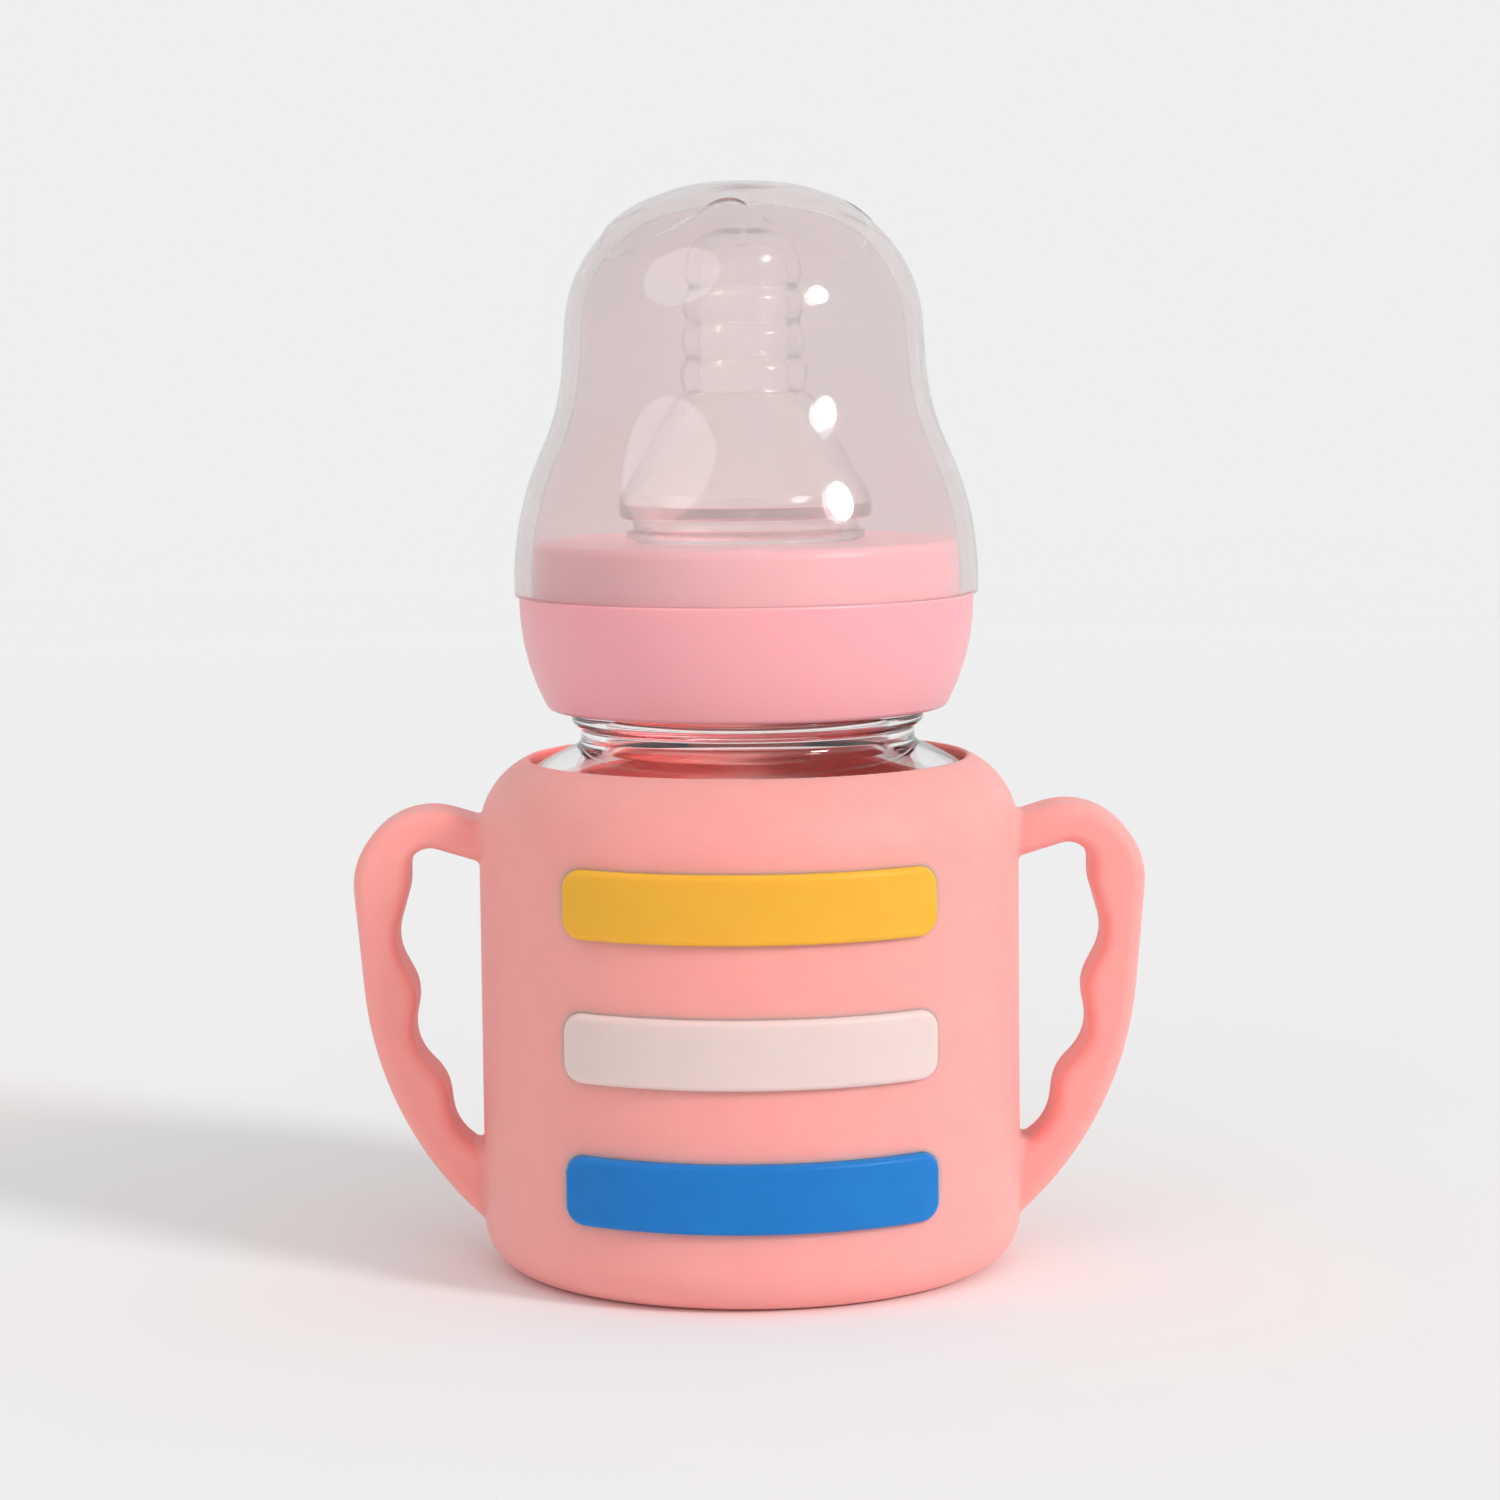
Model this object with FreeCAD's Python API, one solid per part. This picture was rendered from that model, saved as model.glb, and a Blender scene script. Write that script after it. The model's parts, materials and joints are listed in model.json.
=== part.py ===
import FreeCAD
import Part
import math
import os
from FreeCAD import Vector

# Small glass feeding bottle in a two-handled silicone sleeve, with teat, screw collar and hood cap.
# Millimetres; +Z up, the front with the coloured bars faces -Y, the handles lie along X.

# Glass bottle
BODY_RADIUS = 27.2
BODY_HEIGHT = 50.2
GLASS_WALL = 2.4
GLASS_FLOOR = 4.0
GLASS_HEEL = 4.0
SHOULDER_SLOPE = 25.0
SHOULDER_ROUND = 7.2
NECK_RADIUS = 17.9
NECK_WALL = 2.7
NECK_LENGTH = 18.0
NECK_ROUND = 1.2
NECK_BEAD_RISE = 1.7
NECK_BEAD_HEIGHT = 2.4
NECK_BEAD_STANDOUT = 1.0
RIM_ROUND = 0.7

# Silicone sleeve
SLEEVE_FIT = 0.05
SLEEVE_WALL = 1.75
SLEEVE_FLOOR = 2.0
SLEEVE_HEEL = 5.2
SLEEVE_ROUND = 9.0
LIP_RADIUS = 23.4
LIP_WALL = 1.0
LIP_ROUND = 0.35

# Handles of the sleeve
HANDLE_REACH = 13.4
HANDLE_DROP = 2.8
HANDLE_BEND = 8.2
HANDLE_DEPTH = 9.0
HANDLE_EDGE = 1.5
HANDLE_ROOT_ROUND = 0.8
HANDLE_KNEE = 15.6
HANDLE_SWEEP = 38.0
HANDLE_FOOT = 5.4
HANDLE_FOOT_WALL = 7.3
ARM_SLOPE = 17.0
ARM_WALL = 4.2
SIDE_LEAN = 5.0
GRIP_WALL = 4.7
FINGER_PITCH = 12.0
FINGER_WAVE = 1.15
FINGER_ROUND = 5.5
GRIP_CORNER = 2.4

# Coloured bars on the front of the sleeve
BAR_COUNT = 3
BAR_WIDTH = 38.4
BAR_HEIGHT = 7.2
BAR_PITCH = 14.85
BAR_LOWEST = 12.5
BAR_CORNER = 2.0
BAR_STANDOUT = 1.2
BAR_EDGE = 0.6
POCKET_DEPTH = 0.5

# Teat
FLANGE_WALL = 1.8
FLANGE_FIT = 0.5
TEAT_NECK_RADIUS = 12.0
TEAT_NECK_RISE = 2.3
TEAT_WALL = 1.5
SNAP_GAP = 0.2
SNAP_HEIGHT = 0.9
SNAP_STANDOUT = 0.75
DOME_OVERHANG = 1.5
DOME_SKIRT = 2.2
DOME_HEIGHT = 13.4
DOME_ROUND = 2.2
STEM_FOOT_RADIUS = 6.8
TIP_RADIUS = 6.2
TIP_HEIGHT = 6.4
TIP_ROUND = 4.4
RIB_COUNT = 3
RIB_PITCH = 3.7
RIB_DEPTH = 0.45
RIB_LAND = 1.5
RIB_ROUND = 1.5
FEED_HOLE_RADIUS = 0.5
TEAT_EDGE = 0.3

# Screw collar
THREAD_ROOM = 1.5
BARE_NECK = 3.7
COLLAR_FOOT_WALL = 1.9
COLLAR_FOOT_ROUND = 0.9
COLLAR_FLARE = 3.0
COLLAR_PLATE = 1.8
TEAT_HOLE_FIT = 0.25
SPIGOT_HEIGHT = 5.7
SPIGOT_ROUND = 1.0
SEAT_WIDTH = 1.5
COLLAR_EDGE = 0.3

# Hood cap
CAP_FIT = 0.2
CAP_WALL = 1.8
CAP_HEADROOM = 2.7
CAP_SKIRT_HEIGHT = 8.9
CAP_SKIRT_ROUND = 33.0
CAP_WAIST_INSET = 5.1
CAP_WAIST_HEIGHT = 19.8
CAP_WAIST_ROUND = 25.0
CAP_CROWN_INSET = 6.4
CAP_CROWN_DROP = 4.6
CAP_CROWN_ROUND = 15.0
CAP_TOP_RADIUS = 5.0
CAP_TOP_ROUND = 20.0
CREST_RAISE = 0.3
CREST_POINT = 17.0
CREST_NOTCH = 10.7
CREST_NOTCH_ROUND = 2.2
CREST_TURN = -7.5

# Heights and radii that several pieces share
slope = math.tan(math.radians(SHOULDER_SLOPE))
lean = math.cos(math.radians(SHOULDER_SLOPE))
glass_foot = SLEEVE_FLOOR
shoulder_height = glass_foot + BODY_HEIGHT
neck_foot = shoulder_height + (BODY_RADIUS - NECK_RADIUS) * slope
rim_height = neck_foot + NECK_LENGTH
bore_radius = NECK_RADIUS - NECK_WALL
sleeve_radius = BODY_RADIUS + SLEEVE_FIT + SLEEVE_WALL
sleeve_core = sleeve_radius - SLEEVE_WALL / 2
handle_root = sleeve_radius - 2 * SLEEVE_WALL
plate_underside = rim_height + FLANGE_WALL
collar_top = plate_underside + COLLAR_PLATE
collar_bore = NECK_RADIUS + THREAD_ROOM
collar_radius = collar_bore + COLLAR_FOOT_WALL + COLLAR_FLARE
seat_height = collar_top - SPIGOT_HEIGHT
spigot_radius = collar_radius - SEAT_WIDTH
dome_underside = collar_top + TEAT_NECK_RISE
stem_foot = dome_underside + DOME_HEIGHT
tip_foot = stem_foot + RIB_COUNT * RIB_PITCH
teat_top = tip_foot + TIP_HEIGHT
cap_radius = spigot_radius + CAP_FIT + CAP_WALL
cap_top = teat_top + CAP_HEADROOM + CAP_WALL


def corner_reach(corners, closed):
    """How far the rounding of each (x, z, radius) corner runs along its sides, limited by the sides."""
    count = len(corners)
    points = [Vector(x, 0, z) for x, z, radius in corners]
    reach = [0.0] * count
    for i in range(count):
        if not closed and i in (0, count - 1):
            continue
        arriving = points[i] - points[i - 1]
        leaving = points[(i + 1) % count] - points[i]
        reach[i] = corners[i][2] * math.tan(arriving.getAngle(leaving) / 2)
    share = [1.0] * count
    for i in range(count if closed else count - 1):
        j = (i + 1) % count
        wanted = reach[i] + reach[j]
        side = points[i].distanceToPoint(points[j])
        if wanted > 0.99 * side:
            share[i] = min(share[i], 0.99 * side / wanted)
            share[j] = min(share[j], 0.99 * side / wanted)
    return points, [length * part for length, part in zip(reach, share)]


def outline(corners, closed=True):
    """Lines and tangent arcs in the XZ plane along a path of (x, z, radius) corners."""
    points, reach = corner_reach(corners, closed)
    count = len(points)
    edges = []
    first = None
    last = None
    for i in range(count):
        here = points[i]
        start = here
        end = here
        arc = None
        if reach[i] > 1e-6:
            back = (points[i - 1] - here).normalize()
            ahead = (points[(i + 1) % count] - here).normalize()
            start = here + back * reach[i]
            end = here + ahead * reach[i]
            half = back.getAngle(ahead) / 2
            inward = (back + ahead).normalize()
            middle = here + inward * reach[i] * (1 - math.sin(half)) / math.cos(half)
            arc = Part.Arc(start, middle, end).toShape()
        if last is not None and last.distanceToPoint(start) > 1e-6:
            edges.append(Part.LineSegment(last, start).toShape())
        if arc is not None:
            edges.append(arc)
        if first is None:
            first = start
        last = end
    if closed and last.distanceToPoint(first) > 1e-6:
        edges.append(Part.LineSegment(last, first).toShape())
    return edges


def turned(corners):
    """Solid of revolution about Z from a closed half outline."""
    face = Part.Face(Part.Wire(outline(corners)))
    return face.revolve(Vector(0, 0, 0), Vector(0, 0, 1), 360)


def inset_path(corners, inset):
    """The same open path moved sideways by the inset, its roundings staying concentric."""
    points = [Vector(x, 0, z) for x, z, radius in corners]
    moved = []
    for i in range(len(points) - 1):
        along = (points[i + 1] - points[i]).normalize()
        side = Vector(-along.z, 0, along.x)
        moved.append((points[i] + side * inset, along))
    result = [(moved[0][0].x, moved[0][0].z, 0.0)]
    for i in range(1, len(moved)):
        base, along = moved[i - 1]
        other, onward = moved[i]
        cross = along.x * onward.z - along.z * onward.x
        gap = other - base
        step = (gap.x * onward.z - gap.z * onward.x) / cross
        meet = base + along * step
        radius = corners[i][2] - inset if cross > 0 else corners[i][2] + inset
        result.append((meet.x, meet.z, max(radius, 0.0)))
    end = points[-1] + Vector(-moved[-1][1].z, 0, moved[-1][1].x) * inset
    result.append((end.x, end.z, 0.0))
    return result


def shoulder_line(radius, thickness):
    """Height of the shoulder cone at a radius, moved out from the glass by a thickness."""
    return shoulder_height + (BODY_RADIUS - radius) * slope + thickness / lean


def glass_bottle():
    """Blown glass body with shoulder, neck, neck bead and flat rim."""
    inner = BODY_RADIUS - GLASS_WALL
    bead_foot = neck_foot + NECK_BEAD_RISE
    bead_top = bead_foot + NECK_BEAD_HEIGHT
    bead = NECK_RADIUS + NECK_BEAD_STANDOUT
    return turned([
        (0, glass_foot, 0),
        (BODY_RADIUS, glass_foot, GLASS_HEEL),
        (BODY_RADIUS, shoulder_height, SHOULDER_ROUND),
        (NECK_RADIUS, neck_foot, NECK_ROUND),
        (NECK_RADIUS, bead_foot, NECK_BEAD_STANDOUT / 2),
        (bead, bead_foot + NECK_BEAD_STANDOUT / 2, NECK_BEAD_STANDOUT),
        (bead, bead_top - NECK_BEAD_STANDOUT / 2, NECK_BEAD_STANDOUT),
        (NECK_RADIUS, bead_top, NECK_BEAD_STANDOUT / 2),
        (NECK_RADIUS, rim_height, RIM_ROUND),
        (bore_radius, rim_height, RIM_ROUND),
        (bore_radius, shoulder_line(bore_radius, -GLASS_WALL), NECK_WALL),
        (inner, shoulder_line(inner, -GLASS_WALL), max(SHOULDER_ROUND - GLASS_WALL, 1.0)),
        (inner, glass_foot + GLASS_FLOOR, GLASS_HEEL),
        (0, glass_foot + GLASS_FLOOR, 0),
    ])


def sleeve_cup(levels):
    """Cup of the sleeve with a wall band for each bar, and a thin lip lying on the glass shoulder."""
    inside = BODY_RADIUS + SLEEVE_FIT
    band_tops = [(sleeve_radius, level + BAR_PITCH / 2, 0) for level in levels[:-1]]
    return turned([
        (0, 0, 0),
        (sleeve_radius, 0, SLEEVE_HEEL),
        *band_tops,
        (sleeve_radius, shoulder_line(sleeve_radius, SLEEVE_FIT + LIP_WALL), SLEEVE_ROUND),
        (LIP_RADIUS, shoulder_line(LIP_RADIUS, SLEEVE_FIT + LIP_WALL), LIP_ROUND),
        (LIP_RADIUS, shoulder_line(LIP_RADIUS, SLEEVE_FIT), LIP_ROUND / 2),
        (inside, shoulder_line(inside, SLEEVE_FIT), SHOULDER_ROUND + SLEEVE_FIT),
        (inside, SLEEVE_FLOOR, GLASS_HEEL),
        (0, SLEEVE_FLOOR, 0),
    ])


def height_at(x, start, end):
    """Height at x of the straight line through two (x, z, ...) corners."""
    return start[1] + (x - start[0]) * (end[1] - start[1]) / (end[0] - start[0])


def handle_outer():
    """Corners of a handle's outer edge: arm, bend, leaning side and the sweep back to the sleeve."""
    top = shoulder_line(sleeve_radius, SLEEVE_FIT + LIP_WALL) - HANDLE_DROP
    centre_x = sleeve_radius + HANDLE_REACH - HANDLE_BEND
    centre_z = top - HANDLE_BEND
    bisector = math.radians((90 + ARM_SLOPE - SIDE_LEAN) / 2)
    half = math.radians((90 + ARM_SLOPE + SIDE_LEAN) / 2)
    arm_x = centre_x + HANDLE_BEND / math.cos(half) * math.cos(bisector)
    arm_z = centre_z + HANDLE_BEND / math.cos(half) * math.sin(bisector)
    arm_drop = (arm_x - handle_root) * math.tan(math.radians(ARM_SLOPE))
    knee_x = arm_x - (arm_z - HANDLE_KNEE) * math.tan(math.radians(SIDE_LEAN))
    foot = height_at(handle_root, (knee_x, HANDLE_KNEE), (sleeve_radius, HANDLE_FOOT))
    return [
        (handle_root, arm_z - arm_drop, 0),
        (arm_x, arm_z, HANDLE_BEND),
        (knee_x, HANDLE_KNEE, HANDLE_SWEEP),
        (handle_root, foot, 0),
    ]


def finger_corners(outer_edges):
    """Bumps and scallops of the grip, at even steps along the handle's side from its widest point."""
    side = Part.Wire(outer_edges[2:4])
    stations = side.discretize(Distance=FINGER_PITCH / 2)
    corners = []
    for i in range(len(stations) - 1):
        along = (stations[i + 1] - stations[i]).normalize()
        depth = GRIP_WALL + (FINGER_WAVE if i % 2 == 0 else -FINGER_WAVE)
        spot = stations[i] + Vector(along.z, 0, -along.x) * depth
        if spot.x < sleeve_radius + GRIP_WALL / 2:
            break
        corners.append((spot.x, spot.z, FINGER_ROUND))
    return corners


def handle():
    """Right handle: a flat loop with a finger grip, its long edges rounded."""
    outer_corners = handle_outer()
    outer = outline(outer_corners, closed=False)
    fingers = finger_corners(outer)
    arm_fall = ARM_WALL / math.cos(math.radians(ARM_SLOPE))
    arm_rise = (fingers[0][0] - handle_root) * math.tan(math.radians(ARM_SLOPE))
    underside = outer_corners[0][1] - arm_fall
    loop_foot = height_at(handle_root, fingers[-1], (sleeve_radius, HANDLE_FOOT + HANDLE_FOOT_WALL))
    inner_corners = [(handle_root, loop_foot, 0)]
    inner_corners += reversed(fingers)
    inner_corners.append((fingers[0][0], underside + arm_rise, GRIP_CORNER))
    inner_corners.append((handle_root, underside, 0))
    edges = outer + outline(inner_corners, closed=False)
    for tail, head in ((outer_corners[-1], inner_corners[0]), (inner_corners[-1], outer_corners[0])):
        edges.append(Part.LineSegment(Vector(tail[0], 0, tail[1]), Vector(head[0], 0, head[1])).toShape())
    face = Part.Face(Part.Wire(Part.__sortEdges__(edges)))
    face.translate(Vector(0, -HANDLE_DEPTH / 2, 0))
    loop = face.extrude(Vector(0, HANDLE_DEPTH, 0))
    rims = [edge for edge in loop.Edges if abs(abs(edge.CenterOfMass.y) - HANDLE_DEPTH / 2) < 1e-3]
    rims = [edge for edge in rims if max(vertex.X for vertex in edge.Vertexes) > handle_root + 1e-3]
    thinnest = min(GRIP_WALL - FINGER_WAVE, ARM_WALL, HANDLE_DEPTH)
    loop = loop.makeFillet(min(HANDLE_EDGE, 0.43 * thinnest), rims)
    return loop.cut(Part.makeCylinder(sleeve_core, shoulder_height)).Solids[0]


def root_edges(sleeve, cup, handles):
    """Edges of the joined sleeve along which the handles meet the cup."""
    edges = []
    for edge in sleeve.Edges:
        spots = [Part.Vertex(spot) for spot in edge.discretize(3)]
        for loop in handles:
            pair = (cup.Shells[0], loop.Shells[0])
            if all(shell.distToShape(spot)[0] < 1e-3 for spot in spots for shell in pair):
                edges.append(edge)
    return edges


def bar_blank(level):
    """Rounded rectangular block across the front of the sleeve at one bar's height."""
    x = BAR_WIDTH / 2
    z = BAR_HEIGHT / 2
    corners = [
        (-x, level - z, BAR_CORNER),
        (x, level - z, BAR_CORNER),
        (x, level + z, BAR_CORNER),
        (-x, level + z, BAR_CORNER),
    ]
    face = Part.Face(Part.Wire(outline(corners)))
    return face.extrude(Vector(0, -2 * sleeve_radius, 0))


def ring(inner, outer):
    """Tube about the bottle's axis, as high as the sleeve."""
    tube = Part.makeCylinder(outer, shoulder_height)
    return tube.cut(Part.makeCylinder(inner, shoulder_height))


def bar(level):
    """One bar, bent to the sleeve, seated in its pocket and with a soft outer edge."""
    face_radius = sleeve_radius + BAR_STANDOUT
    body = bar_blank(level).common(ring(sleeve_radius - POCKET_DEPTH, face_radius)).Solids[0]
    rims = []
    for edge in body.Edges:
        spots = edge.discretize(3)
        if all(abs(math.hypot(spot.x, spot.y) - face_radius) < 1e-3 for spot in spots):
            rims.append(edge)
    return body.makeFillet(BAR_EDGE, rims).Solids[0]


def grip_sleeve(levels):
    """Sleeve cup with both handles, and a pocket for each bar."""
    cup = sleeve_cup(levels)
    right = handle()
    left = right.mirror(Vector(0, 0, 0), Vector(1, 0, 0))
    sleeve = cup.fuse([right, left]).Solids[0]
    sleeve = sleeve.makeFillet(HANDLE_ROOT_ROUND, root_edges(sleeve, cup, [right, left]))
    pocket = ring(sleeve_radius - POCKET_DEPTH, sleeve_radius + BAR_STANDOUT)
    for level in levels:
        sleeve = sleeve.cut(bar_blank(level).common(pocket))
    return sleeve.Solids[0]


def stem_ribs():
    """Corners up the teat's stem: a groove below each swelling, tapering towards the tip."""
    corners = []
    for i in range(RIB_COUNT):
        foot = stem_foot + i * RIB_PITCH
        swell = STEM_FOOT_RADIUS + (TIP_RADIUS - STEM_FOOT_RADIUS) * i / RIB_COUNT
        corners.append((swell - RIB_DEPTH, foot, RIB_DEPTH))
        corners.append((swell, foot + (RIB_PITCH - RIB_LAND) / 2, RIB_ROUND))
        corners.append((swell, foot + (RIB_PITCH + RIB_LAND) / 2, RIB_ROUND))
    corners.append((TIP_RADIUS - RIB_DEPTH, tip_foot, RIB_DEPTH))
    return corners


def teat():
    """Hollow silicone teat: flange under the collar, snap bead, dome, ribbed stem and tip."""
    flange = collar_bore - FLANGE_FIT
    dome = TEAT_NECK_RADIUS + DOME_OVERHANG
    snap = TEAT_NECK_RADIUS + SNAP_STANDOUT
    snap_foot = collar_top + SNAP_GAP
    snap_top = snap_foot + SNAP_HEIGHT
    throat = TEAT_NECK_RADIUS - TEAT_WALL
    corners = [
        (throat, rim_height, TEAT_EDGE),
        (flange, rim_height, TEAT_EDGE),
        (flange, plate_underside, TEAT_EDGE),
        (TEAT_NECK_RADIUS, plate_underside, SNAP_GAP),
        (TEAT_NECK_RADIUS, snap_foot, SNAP_GAP),
        (snap, snap_foot, TEAT_EDGE),
        (snap, snap_top, TEAT_EDGE),
        (TEAT_NECK_RADIUS, snap_top, TEAT_EDGE),
        (TEAT_NECK_RADIUS, dome_underside, TEAT_EDGE),
        (dome, dome_underside, 2 * TEAT_EDGE),
        (dome, dome_underside + DOME_SKIRT, DOME_ROUND),
        (STEM_FOOT_RADIUS + RIB_DEPTH, stem_foot - RIB_DEPTH, RIB_ROUND),
    ]
    corners += stem_ribs()
    corners += [
        (TIP_RADIUS, tip_foot + (RIB_PITCH - RIB_LAND) / 2, RIB_ROUND),
        (TIP_RADIUS, teat_top, TIP_ROUND),
        (FEED_HOLE_RADIUS, teat_top, TEAT_EDGE),
        (FEED_HOLE_RADIUS, teat_top - TEAT_WALL, TEAT_EDGE),
        (TIP_RADIUS - TEAT_WALL, teat_top - TEAT_WALL, TIP_ROUND - TEAT_WALL),
        (STEM_FOOT_RADIUS - RIB_DEPTH - TEAT_WALL, stem_foot, DOME_ROUND),
        (dome - TEAT_WALL, dome_underside + DOME_SKIRT, DOME_ROUND),
        (dome - TEAT_WALL, dome_underside + TEAT_WALL, TEAT_EDGE),
        (throat, dome_underside, TEAT_EDGE),
    ]
    return turned(corners)


def screw_collar():
    """Screw ring: bowl-shaped skirt round the neck, seat and spigot for the cap, plate over the flange."""
    foot = collar_bore + COLLAR_FOOT_WALL
    foot_height = neck_foot + BARE_NECK
    hole = TEAT_NECK_RADIUS + TEAT_HOLE_FIT
    rise = seat_height - foot_height
    bowl = (rise ** 2 + COLLAR_FLARE ** 2) / (2 * COLLAR_FLARE)
    bend = (rise ** 2 + COLLAR_FLARE ** 2) / (2 * rise)
    return turned([
        (collar_bore, foot_height, COLLAR_FOOT_ROUND / 2),
        (foot, foot_height, COLLAR_FOOT_ROUND),
        (collar_radius, seat_height - bend, bowl),
        (collar_radius, seat_height, COLLAR_EDGE),
        (spigot_radius, seat_height, 0),
        (spigot_radius, collar_top, SPIGOT_ROUND),
        (hole, collar_top, COLLAR_EDGE),
        (hole, plate_underside, COLLAR_EDGE),
        (collar_bore, plate_underside, 0),
    ])


def cap_path():
    """Corners of the cap's outside, from its rim over the waist to the middle of the top."""
    return [
        (cap_radius, seat_height, 0),
        (cap_radius, seat_height + CAP_SKIRT_HEIGHT, CAP_SKIRT_ROUND),
        (cap_radius - CAP_WAIST_INSET, seat_height + CAP_WAIST_HEIGHT, CAP_WAIST_ROUND),
        (cap_radius - CAP_CROWN_INSET, cap_top - CAP_CROWN_DROP, CAP_CROWN_ROUND),
        (CAP_TOP_RADIUS, cap_top, CAP_TOP_ROUND),
        (0, cap_top, 0),
    ]


def cap_form(inset):
    """Solid inside the cap's outside, shrunk by an inset."""
    path = inset_path(cap_path(), inset)
    return turned(path + [(0, seat_height, 0)])


def crest():
    """Four-lobed block with rounded notches that bounds the raised crest of the cap."""
    valley = CREST_NOTCH + CREST_NOTCH_ROUND
    slant = math.sqrt(2) * valley
    lobe = valley ** 2 - slant * CREST_POINT + CREST_POINT ** 2 - CREST_NOTCH_ROUND ** 2
    lobe /= 2 * (CREST_POINT + CREST_NOTCH_ROUND) - slant
    across = (CREST_POINT - lobe) / math.sqrt(2)
    lobe_middle = Vector(across, across, 0)
    meeting = lobe_middle + (Vector(valley, 0, 0) - lobe_middle).normalize() * lobe
    point = Vector(CREST_POINT, CREST_POINT, 0) / math.sqrt(2)
    arcs = [
        (Vector(meeting.x, -meeting.y, 0), Vector(CREST_NOTCH, 0, 0), meeting),
        (meeting, point, Vector(meeting.y, meeting.x, 0)),
    ]
    edges = []
    for i in range(4):
        for spots in arcs:
            edge = Part.Arc(*spots).toShape()
            edge.rotate(Vector(0, 0, 0), Vector(0, 0, 1), 90 * i + CREST_TURN)
            edges.append(edge)
    face = Part.Face(Part.Wire(edges))
    face.translate(Vector(0, 0, seat_height + CAP_WAIST_HEIGHT))
    return face.extrude(Vector(0, 0, cap_top))


def hood_cap():
    """Waisted cap of even wall with a slightly raised four-lobed crest."""
    hollow = cap_form(CAP_WALL)
    raised = cap_form(-CREST_RAISE).common(crest())
    return cap_form(0).fuse(raised).cut(hollow).removeSplitter().Solids[0]


def main():
    os.makedirs("parts", exist_ok=True)
    levels = [BAR_LOWEST + BAR_PITCH * i for i in range(BAR_COUNT)]
    pieces = {
        "glass_bottle": glass_bottle(),
        "grip_sleeve": grip_sleeve(levels),
        "blue_bar": bar(levels[0]),
        "white_bar": bar(levels[1]),
        "yellow_bar": bar(levels[2]),
        "teat": teat(),
        "screw_collar": screw_collar(),
        "hood_cap": hood_cap(),
    }
    for name, shape in pieces.items():
        shape.exportStep(f"parts/{name}.step")


main()
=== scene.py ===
import json
import math
import bpy
from mathutils import Euler, Matrix, Vector


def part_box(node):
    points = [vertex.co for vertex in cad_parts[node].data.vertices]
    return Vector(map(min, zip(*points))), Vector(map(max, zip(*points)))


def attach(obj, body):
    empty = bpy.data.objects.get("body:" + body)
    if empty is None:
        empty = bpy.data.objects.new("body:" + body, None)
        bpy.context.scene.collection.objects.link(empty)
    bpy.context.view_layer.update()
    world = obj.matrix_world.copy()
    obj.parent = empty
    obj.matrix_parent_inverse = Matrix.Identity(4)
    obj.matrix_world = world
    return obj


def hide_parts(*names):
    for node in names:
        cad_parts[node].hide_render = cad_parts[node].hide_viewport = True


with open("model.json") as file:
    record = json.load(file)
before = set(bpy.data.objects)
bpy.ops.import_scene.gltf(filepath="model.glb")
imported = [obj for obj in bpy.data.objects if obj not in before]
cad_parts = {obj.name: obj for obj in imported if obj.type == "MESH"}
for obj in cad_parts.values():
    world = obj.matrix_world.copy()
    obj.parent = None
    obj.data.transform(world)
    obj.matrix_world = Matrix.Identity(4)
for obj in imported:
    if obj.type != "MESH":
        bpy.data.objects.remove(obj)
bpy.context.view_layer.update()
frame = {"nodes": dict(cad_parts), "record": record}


# Glass bottle. A small body of clear glass, blown in a mould, with a round shoulder and a thick
# floor. Its neck carries a bead below the collar and the right-hand thread that the collar runs on.
MM = 0.001
FIT_SHARE = 0.99
SMALLEST_GAP = 1e-7
ARC_STEP = math.radians(6)
CREASE = math.radians(35)
AROUND_STEPS = 180


def rounded(corners):
    """Points along a closed outline of (radius, height, rounding) corners, each rounding a fine arc."""
    count = len(corners)
    places = [Vector((x, z)) for x, z, rounding in corners]
    reach = []
    for i in range(count):
        arriving = places[i] - places[i - 1]
        leaving = places[(i + 1) % count] - places[i]
        reach.append(corners[i][2] * math.tan(arriving.angle(leaving) / 2))
    # Two roundings that would meet on a side are both made smaller, until they fit on it.
    share = [1.0] * count
    for i in range(count):
        j = (i + 1) % count
        side = (places[i] - places[j]).length
        wanted = reach[i] + reach[j]
        if wanted > FIT_SHARE * side:
            share[i] = min(share[i], FIT_SHARE * side / wanted)
            share[j] = min(share[j], FIT_SHARE * side / wanted)
    points = []
    for i in range(count):
        length = reach[i] * share[i]
        if length < SMALLEST_GAP:
            points.append(places[i])
            continue
        back = (places[i - 1] - places[i]).normalized()
        ahead = (places[(i + 1) % count] - places[i]).normalized()
        half = back.angle(ahead) / 2
        middle = places[i] + (back + ahead).normalized() * length / math.cos(half)
        start = places[i] + back * length - middle
        end = places[i] + ahead * length - middle
        turn = start.angle_signed(end)
        steps = max(2, math.ceil(abs(turn) / ARC_STEP))
        for step in range(steps + 1):
            points.append(middle + Matrix.Rotation(-turn * step / steps, 2) @ start)
    return points


def drawn(name, points):
    """A new piece in edit mode: a closed line in the XZ plane, drawn out from one vertex."""
    bpy.ops.object.select_all(action="DESELECT")
    bpy.ops.mesh.primitive_plane_add(size=MM, enter_editmode=True)
    piece = bpy.context.object
    piece.name = name
    bpy.ops.mesh.select_mode(type="VERT")
    bpy.ops.mesh.merge(type="CENTER")
    bpy.ops.transform.translate(value=(points[0].x, 0, points[0].y))
    for here, there in zip(points, points[1:] + points[:1]):
        step = (there.x - here.x, 0, there.y - here.y)
        bpy.ops.mesh.extrude_vertices_move(TRANSFORM_OT_translate={"value": step})
    bpy.ops.mesh.select_all(action="SELECT")
    bpy.ops.mesh.remove_doubles(threshold=SMALLEST_GAP)
    return piece


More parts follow.
